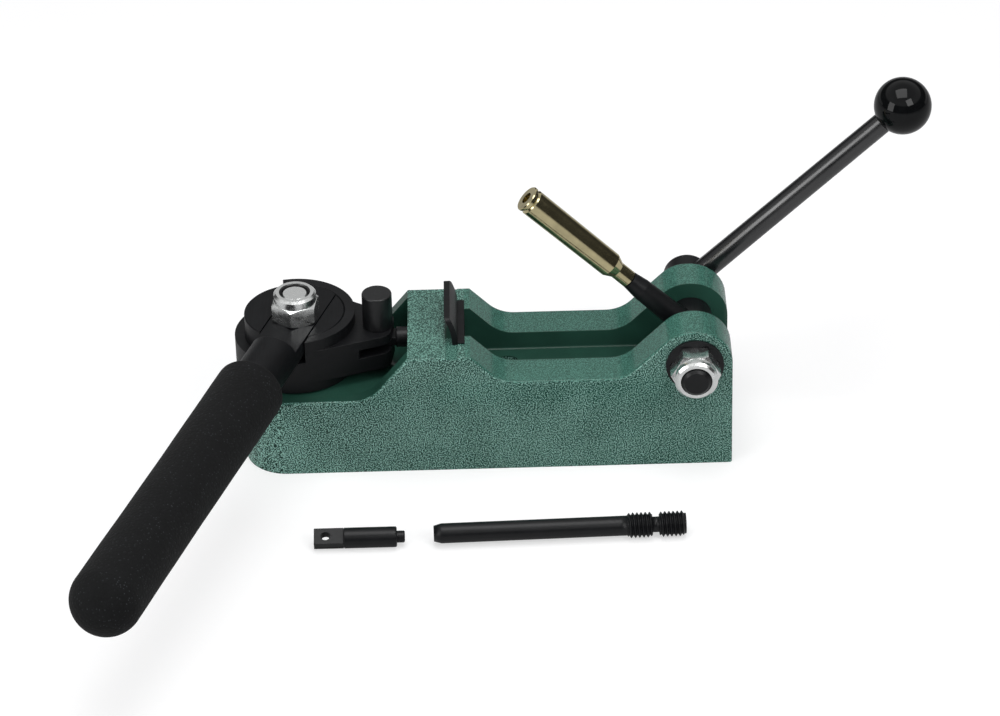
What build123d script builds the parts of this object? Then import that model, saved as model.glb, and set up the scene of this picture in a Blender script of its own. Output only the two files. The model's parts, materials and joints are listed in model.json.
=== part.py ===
"""Bench-mounted lever press with a sliding horizontal ram, for swaging primer pockets.

The frame: origin at the middle of the base's underside, +X from the cam end to the
clevis end, +Y to the back, +Z up. Millimetres. Everything is built in its rest pose:
the cam handle swung to the front, the case support tipped up.
"""

from build123d import *
from math import acos, asin, atan2, cos, degrees, hypot, radians, sin, sqrt, tan
import os

# ---------------------------------------------------------------- driving dimensions
# Base casting
base_length = 216.0
base_width = 58.0
end_corner_radius = 19.0        # plan corners of the cam end
axis_height = 52.2              # ram axis and clevis axis
platform_drop = 15.0            # flat that the cam turns over, below the ram's axis
rail_height = 45.6
bridge_cover = 6.6              # metal over the ram axis
ear_radius = 16.6               # clevis ears, round the clevis axis
ear_shoulder_radius = 16.0
ear_shoulder_setback = 7.4      # ear's top corner on the cam side, from the clevis axis
channel_width = 22.0
channel_floor_drop = 15.0       # below the ram's axis
wall_thickness = 7.0            # cheeks that run up to the bridge
bridge_length = 25.1            # cam side of the bridge to the face of the guide plate
bridge_lip = 2.5                # rail tops carry on this far past the guide plate
cam_side_slope = 50.8           # degrees
clevis_side_slope = 45.0        # degrees
slope_blend_radius = 16.0
cast_edge_radius = 1.2
channel_fillet_radius = 1.0

# Bench bolts
bench_hole_diameter = 10.3
bench_hole_spacing = 65.0
bench_hole_setback = 18.7       # first hole's centre, from the face of the guide plate

# Cam, stud and handle
stud_end_chamfer = 1.2
stud_end_recess = 0.7           # below the top of its nut
stud_setback = 24.6             # stud's centre, from the cam end of the base
stud_diameter = 12.7
stud_head_flats = 19.05
stud_head_height = 7.0
stud_head_pocket_depth = 9.0
stud_head_pocket_diameter = 24.0
thrust_washer_diameter = 40.0
thrust_washer_thickness = 0.8
cam_lift = 0.2                  # air under the cam and the strap
cam_nut_gap = 0.1               # so that the nut doesn't clamp the cam
cam_diameter = 44.4
cam_throw = 4.7
cam_throw_angle = 101.4         # degrees from +X, at rest
cam_over_arm = 5.5              # cam and ring stand this far above the strap's arm
tang_depth = 10.1               # handle tang, down into the cam's slot
handle_angle = 250.6            # degrees from +X, at rest
handle_diameter = 21.5
handle_axis_drop = 3.4          # handle's axis below the top of the cam
tang_reach = 29.2               # the flats end at this radius round the stud
grip_start = 55.0               # from the stud's axis
grip_length = 175.0
grip_diameter = 30.0
grip_mouth_round = 3.2
grip_end_wall = 17.0            # foam past the end of the handle
joint_chamfer = 0.4             # round the joint between the cam and the strap
cam_nut_corner_angle = 260.5    # degrees from +X

# Strap with its fork
strap_wall = 4.6
strap_low_gap = 0.6             # under the floor of the cam's slot, where the handle sweeps
link_length = 37.2
arm_drop = 9.6                  # metal under the ram's axis
arm_cover = 6.6                 # metal over it
fork_width = 17.0
fork_overhang = 6.4             # past the fork pin's axis
fork_corner_radius = 6.0
fork_slot_height = 4.4
fork_slot_depth = 6.6           # inboard of the fork pin's axis
window_back_angle = 102.4       # degrees from +X, round the cam's centre
window_side_gap = 0.45
fork_stop_gap = 0.8             # fork to bridge, with the linkage straight

# Fork pin
pin_diameter = 4.0
pin_head_diameter = 13.3
pin_head_height = 16.6
pin_head_round = 0.8
pin_head_lift = 0.1             # air over the fork, which turns under the head

# Ram
ram_diameter = 9.0
tongue_thickness = 4.0
tongue_width = 8.0              # its corners stay inside the round of the ram
tongue_overhang = 5.0           # past the fork pin's axis
tongue_shoulder = 7.8           # fork pin's axis to the round of the ram
ram_chamfer = 0.4
ram_tip_diameter = 5.2
ram_tip_length = 3.5
ram_tip_recess = 3.9            # tip behind the face of the guide plate, at rest

# Guide plate on the bridge
plate_thickness = 3.0
plate_width = 35.0
plate_drop = 12.2               # below the ram's axis
plate_rise = 7.3                # above it
lip_rise = 11.7                 # over the top of the plate
lip_thickness = 2.5
lip_lean = 3.2
lip_width = 34.0
seat_relief_depth = 0.8
seat_relief_width = 5.7
plate_screw_diameter = 4.0
plate_screw_head_diameter = 7.4
plate_screw_length = 10.0
plate_screw_spacing = 12.0
plate_screw_drop = 8.2          # below the ram's axis

# Clevis shaft, lever and ball
shaft_diameter = 19.05
shaft_head_diameter = 20.6
shaft_head_length = 17.6
shaft_end_diameter = 12.7
shaft_head_chamfer = 0.8
shaft_end_protrusion = 1.6      # past its nut
shaft_shoulder_recess = 0.2     # the washer bears on the ear, not on the shoulder
washer_diameter = 25.4
washer_thickness = 1.0
lever_angle = 43.3              # degrees above +X, at rest
lever_length = 130.0            # clevis axis to the middle of the ball
lever_setback = 8.8             # lever's axis, behind the back ear
lever_root_diameter = 10.3
lever_tip_diameter = 9.6
lever_spigot_diameter = 8.0
lever_spigot_depth = 12.0
lever_seat_depth = 1.4          # counterbore in the round of the shaft's head
ball_diameter = 25.4
ball_flat_diameter = 11.0
ball_bore_depth = 10.0

# Lock nuts, both ends
nut_flats = 19.05
nut_height = 12.9
nut_hex_height = 8.6
nut_collar_diameter = 18.8
nut_insert_diameter = 15.2
nut_insert_height = 2.6
nut_mouth_diameter = 13.8
nut_lip = 0.5

# Case support
support_angle = 44.2            # degrees above -X, at rest
support_thread_diameter = 11.1
support_groove_diameter = 6.8
support_groove_width = 3.0
support_taper = 0.75
support_tail = 13.4             # past the clevis axis
support_cone_length = 7.0
support_shank_diameter = 6.0
support_tip_chamfer = 1.0

# Sample case
case_length = 61.5
case_mouth_gap = 0.6            # case mouth to the cone of the support
case_head_gap = 0.4             # head to guide plate, with the support lowered
case_head_diameter = 12.1
case_rim_thickness = 1.3
case_groove_diameter = 10.3
case_groove_width = 1.0
case_shoulder_diameter = 11.4
case_neck_diameter = 7.9
case_neck_length = 7.2
case_shoulder_length = 3.9
case_wall = 0.4
case_web = 4.8
primer_pocket_diameter = 5.4
primer_pocket_depth = 3.1
flash_hole_diameter = 2.0

# Spare tools laid out in front of the press
spare_setback = 56.5            # from the front of the base
spare_ram_offset = 23.9         # towards the cam end, from the ram in the press
spare_rod_offset = 9.9          # its tip, past the cam side of the bridge
spare_rod_turn = 1.5            # degrees
spare_ram_roll = 22.0           # degrees, the flat of its tongue facing the front
spare_rod_shank_diameter = 8.7
spare_rod_shank_length = 83.6
spare_rod_tip_diameter = 6.9
spare_rod_tip_length = 3.3
thread_pitch = 25.4 / 14
thread_depth = 1.05
thread_turns = 6
thread_run_out = 0.7            # plain end past the last turn

# Clearances
link_play = 1.45                # radial, fork pin in the fork: the pin keeps to the ram's line
running_clearance = 0.05        # radial, shafts and slides
loose_clearance = 0.1           # radial, bolts and studs in plain holes
seat_clearance = 0.05           # pieces let into a slot

# ---------------------------------------------------------------- worked-out places
half_length = base_length / 2
half_width = base_width / 2
platform_height = axis_height - platform_drop
channel_floor_height = axis_height - channel_floor_drop
bridge_height = axis_height + bridge_cover
ear_height = axis_height + ear_radius
pivot_x = half_length - ear_radius
stud_x = stud_setback - half_length

cam_center_x = stud_x + cam_throw * cos(radians(cam_throw_angle))
cam_center_y = cam_throw * sin(radians(cam_throw_angle))
pin_x = cam_center_x + sqrt(link_length**2 - cam_center_y**2)
link_angle = -degrees(asin(cam_center_y / link_length))

straight_pin_x = stud_x + cam_throw + link_length
bridge_left = straight_pin_x + fork_overhang + fork_stop_gap
plate_face = bridge_left + bridge_length
plate_back = plate_face - plate_thickness
plate_bottom_height = axis_height - plate_drop
plate_top_height = axis_height + plate_rise
lip_height = plate_top_height + lip_rise

cam_bottom = platform_height + thrust_washer_thickness + cam_lift
arm_bottom_height = axis_height - arm_drop
arm_top_height = axis_height + arm_cover
cam_top = arm_top_height + cam_over_arm
cam_height = cam_top - cam_bottom
cam_radius = cam_diameter / 2
slot_floor = cam_top - tang_depth
strap_low_height = slot_floor - strap_low_gap - cam_bottom
handle_radius = handle_diameter / 2
handle_height = cam_top - handle_axis_drop
grip_end = grip_start + grip_length
handle_length = grip_end - grip_end_wall
strap_bore_radius = cam_radius + running_clearance
strap_radius = strap_bore_radius + strap_wall
fork_end = link_length + fork_overhang
fork_slot_bottom = axis_height - fork_slot_height / 2

shaft_back = half_width + running_clearance
shaft_front = -half_width + shaft_shoulder_recess
nut_seat_y = -half_width - washer_thickness
shaft_end_y = nut_seat_y - nut_height - shaft_end_protrusion
lever_y = shaft_back + lever_setback
head_distance = pivot_x - plate_face - case_head_gap
mouth_distance = head_distance - case_length
support_body_length = mouth_distance - case_mouth_gap - support_cone_length
support_tip = head_distance - case_web - running_clearance
spare_y = -half_width - spare_setback

ram_bore_diameter = ram_diameter + 2 * running_clearance
shaft_bore_diameter = shaft_diameter + 2 * running_clearance
stud_hole_diameter = stud_diameter + 2 * loose_clearance
rod_hole_diameter = support_thread_diameter + 2 * running_clearance

# ---------------------------------------------------------------- working planes
# Along the handle from the stud, and along the strap from the cam's centre.
handle_plane = Plane((stud_x, 0, 0), x_dir=Vector(1, 0, 0).rotate(Axis.Z, handle_angle), z_dir=(0, 0, 1))
link_plane = Plane(
    (cam_center_x, cam_center_y, 0), x_dir=Vector(1, 0, 0).rotate(Axis.Z, link_angle), z_dir=(0, 0, 1)
)


def lengthwise(origin, x_dir, z_dir):
    """A plane for a turned profile: x runs along the axis of the work, y out from it."""
    return Plane(origin, x_dir=x_dir, z_dir=z_dir)


support_direction = (-cos(radians(support_angle)), 0, sin(radians(support_angle)))
support_plane = lengthwise((pivot_x, 0, axis_height), support_direction, (0, -1, 0))
lever_direction = (cos(radians(lever_angle)), 0, sin(radians(lever_angle)))
lever_plane = lengthwise((pivot_x, lever_y, axis_height), lever_direction, (0, -1, 0))


def turn(points, plane, mode=Mode.ADD):
    """Turn a profile of (along, radius) points round the plane's x axis, in the open part."""
    with BuildSketch(plane) as profile:
        with BuildLine():
            Polyline(*points, close=True)
        make_face()
    revolve(profile.sketch, axis=Axis(plane.origin, plane.x_dir), mode=mode)


def cut_block(x_from, x_to, width, z_from, z_to):
    """Cut a block, centred on the XZ plane, out of the open part."""
    with BuildSketch(Plane.XY.offset(z_from)) as footprint:
        with Locations(((x_from + x_to) / 2, 0)):
            Rectangle(x_to - x_from, width)
    extrude(footprint.sketch, amount=z_to - z_from, mode=Mode.SUBTRACT)


# ---------------------------------------------------------------- base casting
cam_foot_x = bridge_left - (bridge_height - platform_height) / tan(radians(cam_side_slope))
clevis_top_x = plate_face + bridge_lip
clevis_foot_x = clevis_top_x + (bridge_height - rail_height) / tan(radians(clevis_side_slope))
ear_top_x = pivot_x - ear_shoulder_setback
ear_foot_x = ear_top_x - (ear_height - rail_height) / tan(radians(clevis_side_slope))
end_corner_x = end_corner_radius - half_length
bench_hole_x = plate_face + bench_hole_setback


def is_rim(edge):
    """Whether an edge is on the outline of the casting's sides or of its low end."""
    place = edge.center()
    on_side = abs(abs(place.Y) - half_width) < 0.01 and place.X > end_corner_x + 0.1 and place.Z > 1
    on_end = place.X < end_corner_x and place.Z > platform_height - 0.01
    return on_side or on_end


def is_channel_corner(edge):
    """Whether an edge is at the foot of the channel's long walls."""
    place = edge.center()
    on_wall = abs(abs(place.Y) - channel_width / 2) < 0.01 and abs(place.Z - channel_floor_height) < 0.01
    return on_wall and edge.length > bench_hole_spacing


with BuildPart() as base:
    with BuildSketch(Plane.XZ):
        with BuildLine():
            Polyline(
                (-half_length, 0),
                (half_length, 0),
                (half_length, ear_height),
                (ear_top_x, ear_height),
                (ear_foot_x, rail_height),
                (clevis_foot_x, rail_height),
                (clevis_top_x, bridge_height),
                (bridge_left, bridge_height),
                (cam_foot_x, platform_height),
                (-half_length, platform_height),
                close=True,
            )
        make_face()
    extrude(amount=half_width, both=True)
    for x, z, radius in (
        (ear_foot_x, rail_height, slope_blend_radius),
        (clevis_foot_x, rail_height, slope_blend_radius),
        (cam_foot_x, platform_height, slope_blend_radius),
        (ear_top_x, ear_height, ear_shoulder_radius),
        (half_length, ear_height, ear_radius),
    ):
        fillet(base.edges().filter_by(Axis.Y).sort_by_distance((x, 0, z))[0], radius)
    fillet(base.edges().filter_by(Axis.Z).group_by(Axis.X)[0], end_corner_radius)
    fillet(base.edges().filter_by(is_rim), cast_edge_radius)

    # Between the cheeks, along the channel, and the seat of the guide plate
    cut_block(-base_length, bridge_left, base_width - 2 * wall_thickness, platform_height, ear_height)
    cut_block(plate_face, base_length, channel_width, channel_floor_height, 2 * ear_height)
    fillet(base.edges().filter_by(is_channel_corner), channel_fillet_radius)
    cut_block(
        plate_back - seat_clearance,
        plate_face + seat_clearance,
        plate_width + 2 * seat_clearance,
        plate_bottom_height - seat_clearance,
        ear_height,
    )
    cut_block(
        plate_back - seat_relief_width,
        plate_back + seat_clearance,
        2 * base_width,
        bridge_height - seat_relief_depth,
        ear_height,
    )

    with Locations(Plane((bridge_left, 0, axis_height), z_dir=(-1, 0, 0))):
        Hole(ram_bore_diameter / 2, depth=bridge_length)
    with Locations(Plane((pivot_x, -half_width, axis_height), z_dir=(0, -1, 0))):
        Hole(shaft_bore_diameter / 2, depth=base_width)
    with Locations(
        (bench_hole_x, 0, channel_floor_height),
        (bench_hole_x + bench_hole_spacing, 0, channel_floor_height),
    ):
        Hole(bench_hole_diameter / 2, depth=channel_floor_height)
    with Locations((stud_x, 0, platform_height)):
        Hole(stud_hole_diameter / 2, depth=platform_height)
    with Locations(Plane((stud_x, 0, 0), z_dir=(0, 0, -1))):
        Hole(stud_head_pocket_diameter / 2, depth=stud_head_pocket_depth)
    for y in (-plate_screw_spacing / 2, plate_screw_spacing / 2):
        with Locations(Plane((plate_back, y, axis_height - plate_screw_drop), z_dir=(1, 0, 0))):
            Hole(plate_screw_diameter / 2 + seat_clearance, depth=plate_screw_length)


# ---------------------------------------------------------------- guide plate
with BuildPart() as guide_plate:
    with BuildSketch(Plane.XZ):
        with Locations((plate_back, plate_bottom_height)):
            Rectangle(
                plate_thickness, plate_top_height - plate_bottom_height, align=(Align.MIN, Align.MIN)
            )
    extrude(amount=plate_width / 2, both=True)
    # A lip that curls away from the clevis, to lead the case head down to the plate
    lip_foot = bridge_height - seat_relief_depth
    lip_middle = (plate_top_height + lip_height) / 2
    with BuildSketch(Plane.XZ):
        with BuildLine():
            Line((plate_back, lip_foot), (plate_back, plate_top_height))
            ThreePointArc(
                (plate_back, plate_top_height),
                (plate_back - lip_lean / 4, lip_middle),
                (plate_back - lip_lean, lip_height),
            )
            Line((plate_back - lip_lean, lip_height), (plate_back - lip_lean - lip_thickness, lip_height))
            ThreePointArc(
                (plate_back - lip_lean - lip_thickness, lip_height),
                (plate_back - lip_lean / 4 - lip_thickness, lip_middle),
                (plate_back - lip_thickness, lip_foot),
            )
            Line((plate_back - lip_thickness, lip_foot), (plate_back, lip_foot))
        make_face()
    extrude(amount=lip_width / 2, both=True)
    fillet(guide_plate.edges().filter_by(Axis.X).group_by(Axis.Z)[-1], lip_thickness)
    with Locations(Plane((plate_face, 0, axis_height), z_dir=(1, 0, 0))):
        Hole(ram_diameter / 2 + loose_clearance, depth=2 * plate_thickness)
    for y in (-plate_screw_spacing / 2, plate_screw_spacing / 2):
        with Locations(Plane((plate_face, y, axis_height - plate_screw_drop), z_dir=(1, 0, 0))):
            CounterSinkHole(
                plate_screw_diameter / 2 + loose_clearance,
                plate_screw_head_diameter / 2 + loose_clearance,
                depth=2 * plate_thickness,
                counter_sink_angle=90,
            )

plate_screw_head_height = (plate_screw_head_diameter - plate_screw_diameter) / 2
with BuildPart() as plate_screws:
    for y in (-plate_screw_spacing / 2, plate_screw_spacing / 2):
        turn(
            [
                (0, 0),
                (0, plate_screw_head_diameter / 2),
                (plate_screw_head_height, plate_screw_diameter / 2),
                (plate_screw_length, plate_screw_diameter / 2),
                (plate_screw_length, 0),
            ],
            lengthwise(
                (plate_face - seat_clearance, y, axis_height - plate_screw_drop), (-1, 0, 0), (0, 1, 0)
            ),
        )


# ---------------------------------------------------------------- stud and lock nuts
def lock_nut(seat):
    """A hexagon nut with a collar for its nylon ring, standing on the seat plane."""
    across_corners = nut_flats / cos(radians(30))
    corner_drop = (across_corners - nut_flats) / 2 * tan(radians(30))
    turning = Plane(seat.origin, x_dir=seat.z_dir, z_dir=seat.y_dir)
    ring_foot = nut_height - nut_lip - nut_insert_height
    with BuildPart() as nut:
        with BuildSketch(seat):
            RegularPolygon(nut_flats / 2, 6, major_radius=False)
        extrude(amount=nut_hex_height)
        turn(
            [
                (0, 0),
                (0, nut_flats / 2),
                (corner_drop, across_corners / 2),
                (nut_hex_height - corner_drop, across_corners / 2),
                (nut_hex_height, nut_flats / 2),
                (nut_hex_height, 0),
            ],
            turning,
            mode=Mode.INTERSECT,
        )
        turn(
            [
                (nut_hex_height, 0),
                (nut_hex_height, nut_collar_diameter / 2),
                (nut_height - 2 * nut_lip, nut_collar_diameter / 2),
                (nut_height, nut_collar_diameter / 2 - 2 * nut_lip),
                (nut_height, 0),
            ],
            turning,
        )
        turn(
            [
                (-1, 0),
                (-1, stud_diameter / 2),
                (ring_foot, stud_diameter / 2),
                (ring_foot, nut_insert_diameter / 2),
                (nut_height - nut_lip, nut_insert_diameter / 2),
                (nut_height - nut_lip, nut_mouth_diameter / 2),
                (nut_height + 1, nut_mouth_diameter / 2),
                (nut_height + 1, 0),
            ],
            turning,
            mode=Mode.SUBTRACT,
        )
    return nut


def nut_ring(seat):
    """The nylon ring inside a lock nut."""
    with BuildPart() as ring:
        with BuildSketch(seat.offset(nut_height - nut_lip - nut_insert_height)):
            Circle(nut_insert_diameter / 2)
            Circle(stud_diameter / 2, mode=Mode.SUBTRACT)
        extrude(amount=nut_insert_height)
    return ring


stud_head_top = stud_head_pocket_depth
stud_top = cam_top + cam_nut_gap + nut_height - stud_end_recess
with BuildPart() as stud:
    with BuildSketch(Plane((stud_x, 0, stud_head_top - stud_head_height))):
        RegularPolygon(stud_head_flats / 2, 6, major_radius=False)
    extrude(amount=stud_head_height)
    with BuildSketch(Plane((stud_x, 0, stud_head_top))):
        Circle(stud_diameter / 2)
    extrude(amount=stud_top - stud_head_top)
    chamfer(stud.edges().filter_by(GeomType.CIRCLE).sort_by(Axis.Z)[-1], stud_end_chamfer)

with BuildPart() as thrust_washer:
    with BuildSketch(Plane((stud_x, 0, platform_height))):
        Circle(thrust_washer_diameter / 2)
        Circle(stud_hole_diameter / 2, mode=Mode.SUBTRACT)
    extrude(amount=thrust_washer_thickness)

cam_nut_seat = Plane(
    (stud_x, 0, cam_top + cam_nut_gap),
    x_dir=Vector(1, 0, 0).rotate(Axis.Z, cam_nut_corner_angle),
    z_dir=(0, 0, 1),
)
cam_nut = lock_nut(cam_nut_seat)
cam_nut_ring = nut_ring(cam_nut_seat)


# ---------------------------------------------------------------- cam and handle
with BuildPart() as cam:
    with BuildSketch(link_plane.offset(cam_bottom)):
        Circle(cam_radius)
    extrude(amount=cam_height)
    chamfer(cam.edges().filter_by(GeomType.CIRCLE).sort_by(Axis.Z)[-1], joint_chamfer)
    with BuildSketch(handle_plane.offset(slot_floor)):
        Rectangle(2 * cam_diameter, handle_diameter + 4 * seat_clearance)
    extrude(amount=tang_depth, mode=Mode.SUBTRACT)
    with Locations((stud_x, 0, slot_floor)):
        Hole(stud_hole_diameter / 2, depth=2 * cam_height)

bar_plane = Plane((stud_x, 0, handle_height), x_dir=(0, 0, 1), z_dir=handle_plane.x_dir)
with BuildPart() as handle_bar:
    with BuildSketch(bar_plane.offset(-cam_diameter)):
        Circle(handle_radius)
    extrude(amount=cam_diameter + handle_length)
    # The tang: flats above and below, its back end cut to the round of the cam
    with BuildSketch(handle_plane.offset(cam_top)):
        Circle(tang_reach)
    extrude(amount=handle_diameter, mode=Mode.SUBTRACT)
    with BuildSketch(handle_plane.offset(slot_floor)):
        Circle(tang_reach)
    extrude(amount=-handle_diameter, mode=Mode.SUBTRACT)
    with BuildSketch(handle_plane.offset(handle_height)) as behind_cam:
        with Locations((-cam_diameter, 0)):
            Rectangle(2 * cam_diameter, 2 * handle_diameter)
        with Locations(handle_plane.to_local_coords(Vector(cam_center_x, cam_center_y))):
            Circle(cam_radius, mode=Mode.SUBTRACT)
    extrude(amount=handle_diameter, both=True, mode=Mode.SUBTRACT)
    with Locations((stud_x, 0, cam_top)):
        Hole(stud_hole_diameter / 2, depth=2 * tang_depth)

grip_plane = Plane((stud_x, 0, handle_height), x_dir=handle_plane.x_dir, z_dir=(0, 0, 1))
grip_radius = grip_diameter / 2
grip_round = grip_end - grip_radius
with BuildPart() as grip:
    with BuildSketch(grip_plane):
        with BuildLine():
            Polyline(
                (handle_length, 0),
                (handle_length, handle_radius),
                (grip_start, handle_radius),
                (grip_start, grip_radius),
                (grip_round, grip_radius),
            )
            RadiusArc((grip_round, grip_radius), (grip_end, 0), grip_radius)
            Line((grip_end, 0), (handle_length, 0))
        make_face()
    revolve(axis=Axis(grip_plane.origin, grip_plane.x_dir))
    grip_mouth = grip.edges().filter_by(GeomType.CIRCLE).filter_by(
        lambda e: abs(e.radius - grip_radius) < 0.01 and e.center().Y > grip_plane.origin.Y - grip_round / 2
    )
    fillet(grip_mouth, grip_mouth_round)


# ---------------------------------------------------------------- strap and fork pin
# The strap's arm runs from tangents of its ring to the end of the fork.
fork_half = fork_width / 2
fork_bearing = atan2(fork_half, fork_end)
tangent_bearing = fork_bearing + acos(strap_radius / hypot(fork_end, fork_half))
tangent_x = strap_radius * cos(tangent_bearing)
tangent_y = strap_radius * sin(tangent_bearing)
# The ring is low where the handle sweeps: from beside the tang round to the back.
cam_from_stud = handle_plane.to_local_coords(Vector(cam_center_x, cam_center_y))
window_side = handle_radius + window_side_gap
back_direction = radians(window_back_angle - handle_angle)
window_reach = 3 * strap_radius


def is_strap_bore(edge):
    """Whether an edge is a rim of the strap's bore."""
    return edge.geom_type == GeomType.CIRCLE and abs(edge.radius - strap_bore_radius) < 0.01


with BuildPart() as strap:
    with BuildSketch(link_plane.offset(cam_bottom)):
        Circle(strap_radius)
    extrude(amount=cam_height)
    with BuildSketch(link_plane.offset(arm_bottom_height)):
        with BuildLine():
            Polyline(
                (0, 0),
                (tangent_x, tangent_y),
                (fork_end, fork_half),
                (fork_end, -fork_half),
                (tangent_x, -tangent_y),
                close=True,
            )
        make_face()
    extrude(amount=arm_top_height - arm_bottom_height)
    fork_corners = strap.edges().filter_by(Axis.Z).sort_by_distance(
        link_plane.from_local_coords(Vector(fork_end, 0, arm_top_height))
    )[0:2]
    fillet(fork_corners, fork_corner_radius)
    with BuildSketch(link_plane.offset(cam_bottom)):
        Circle(strap_bore_radius)
    extrude(amount=cam_height, mode=Mode.SUBTRACT)
    chamfer(strap.edges().filter_by(is_strap_bore).sort_by(Axis.Z)[-1], joint_chamfer)
    with BuildSketch(handle_plane.offset(cam_bottom + strap_low_height)):
        with BuildLine():
            Polyline(
                (cam_from_stud.X, cam_from_stud.Y),
                (
                    cam_from_stud.X + window_reach * cos(back_direction),
                    cam_from_stud.Y + window_reach * sin(back_direction),
                ),
                (-window_reach, -window_reach),
                (window_reach, -window_reach),
                (window_reach, window_side),
                (cam_from_stud.X, window_side),
                close=True,
            )
        make_face()
    extrude(amount=cam_height, mode=Mode.SUBTRACT)
    with BuildSketch(link_plane.offset(fork_slot_bottom)):
        with Locations((link_length - fork_slot_depth, 0)):
            Rectangle(fork_end, 2 * strap_radius, align=(Align.MIN, Align.CENTER))
    extrude(amount=fork_slot_height, mode=Mode.SUBTRACT)
    with Locations((pin_x, 0, arm_top_height)):
        Hole(pin_diameter / 2 + link_play, depth=arm_top_height - arm_bottom_height)

pin_head_seat = arm_top_height + pin_head_lift
with BuildPart() as fork_pin:
    with BuildSketch(Plane((pin_x, 0, arm_bottom_height))):
        Circle(pin_diameter / 2)
    extrude(amount=pin_head_seat - arm_bottom_height)
    with BuildSketch(Plane((pin_x, 0, pin_head_seat))):
        Circle(pin_head_diameter / 2)
    extrude(amount=pin_head_height)
    fillet(fork_pin.edges().sort_by(Axis.Z)[-1], pin_head_round)


# ---------------------------------------------------------------- rams
def ram(hole_x, y, axis_z, roll):
    """A ram lying along X: flat tongue with its pin hole, round body, swaging tip."""
    flat_normal = (0, -sin(radians(roll)), cos(radians(roll)))
    tongue_plane = Plane((hole_x, y, axis_z), x_dir=(1, 0, 0), z_dir=flat_normal)
    body_start = hole_x + tongue_shoulder
    tip_end = hole_x + (plate_face - ram_tip_recess - pin_x)
    body_end = tip_end - ram_tip_length
    with BuildPart() as tool:
        with BuildSketch(tongue_plane.offset(-tongue_thickness / 2)):
            with Locations((-tongue_overhang, 0)):
                Rectangle(
                    tongue_overhang + tongue_shoulder, tongue_width, align=(Align.MIN, Align.CENTER)
                )
            Circle(pin_diameter / 2 + running_clearance, mode=Mode.SUBTRACT)
        extrude(amount=tongue_thickness)
        turn(
            [
                (body_start, 0),
                (body_start, ram_diameter / 2 - ram_chamfer),
                (body_start + ram_chamfer, ram_diameter / 2),
                (body_end - ram_chamfer, ram_diameter / 2),
                (body_end, ram_diameter / 2 - ram_chamfer),
                (body_end, ram_tip_diameter / 2),
                (tip_end - ram_chamfer, ram_tip_diameter / 2),
                (tip_end, ram_tip_diameter / 2 - ram_chamfer),
                (tip_end, 0),
            ],
            lengthwise((0, y, axis_z), (1, 0, 0), (0, -1, 0)),
        )
    return tool


press_ram = ram(pin_x, 0, axis_height, 0)
spare_ram = ram(pin_x - spare_ram_offset, spare_y, ram_diameter / 2, spare_ram_roll)


# ---------------------------------------------------------------- clevis shaft and lever
shaft_plane = lengthwise((pivot_x, 0, axis_height), (0, 1, 0), (1, 0, 0))
lever_seat = shaft_head_diameter / 2 - lever_seat_depth
with BuildPart() as clevis_shaft:
    turn(
        [
            (shaft_end_y, 0),
            (shaft_end_y, shaft_end_diameter / 2 - stud_end_chamfer),
            (shaft_end_y + stud_end_chamfer, shaft_end_diameter / 2),
            (shaft_front, shaft_end_diameter / 2),
            (shaft_front, shaft_diameter / 2),
            (shaft_back, shaft_diameter / 2),
            (shaft_back, shaft_head_diameter / 2),
            (shaft_back + shaft_head_length - shaft_head_chamfer, shaft_head_diameter / 2),
            (shaft_back + shaft_head_length, shaft_head_diameter / 2 - shaft_head_chamfer),
            (shaft_back + shaft_head_length, 0),
        ],
        shaft_plane,
    )
    # Cross hole for the case support, blind seat for the lever
    with Locations(Plane(support_plane.origin, z_dir=support_plane.x_dir)):
        Hole(rod_hole_diameter / 2)
    turn(
        [
            (lever_seat - lever_spigot_depth, 0),
            (lever_seat - lever_spigot_depth, lever_spigot_diameter / 2),
            (lever_seat, lever_spigot_diameter / 2),
            (lever_seat, lever_root_diameter / 2 + seat_clearance),
            (shaft_head_diameter, lever_root_diameter / 2 + seat_clearance),
            (shaft_head_diameter, 0),
        ],
        lever_plane,
        mode=Mode.SUBTRACT,
    )

with BuildPart() as clevis_washer:
    with BuildSketch(Plane((pivot_x, nut_seat_y, axis_height), z_dir=(0, 1, 0))):
        Circle(washer_diameter / 2)
        Circle(shaft_end_diameter / 2 + loose_clearance, mode=Mode.SUBTRACT)
    extrude(amount=washer_thickness)

clevis_nut_seat = Plane((pivot_x, nut_seat_y, axis_height), x_dir=(1, 0, 0), z_dir=(0, -1, 0))
clevis_nut = lock_nut(clevis_nut_seat)
clevis_nut_ring = nut_ring(clevis_nut_seat)

ball_radius = ball_diameter / 2
ball_seat = lever_length - sqrt(ball_radius**2 - (ball_flat_diameter / 2) ** 2)
with BuildPart() as lever_rod:
    turn(
        [
            (lever_seat - lever_spigot_depth, 0),
            (lever_seat - lever_spigot_depth, lever_spigot_diameter / 2),
            (lever_seat, lever_spigot_diameter / 2),
            (lever_seat, lever_root_diameter / 2),
            (ball_seat, lever_tip_diameter / 2),
            (ball_seat, lever_spigot_diameter / 2),
            (ball_seat + ball_bore_depth, lever_spigot_diameter / 2),
            (ball_seat + ball_bore_depth, 0),
        ],
        lever_plane,
    )

with BuildPart() as lever_ball:
    with Locations(lever_plane.from_local_coords(Vector(lever_length, 0))):
        Sphere(ball_radius)
    turn(
        [
            (lever_length - ball_diameter, 0),
            (lever_length - ball_diameter, ball_radius),
            (ball_seat, ball_radius),
            (ball_seat, lever_spigot_diameter / 2),
            (ball_seat + ball_bore_depth, lever_spigot_diameter / 2),
            (ball_seat + ball_bore_depth, 0),
        ],
        lever_plane,
        mode=Mode.SUBTRACT,
    )


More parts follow.
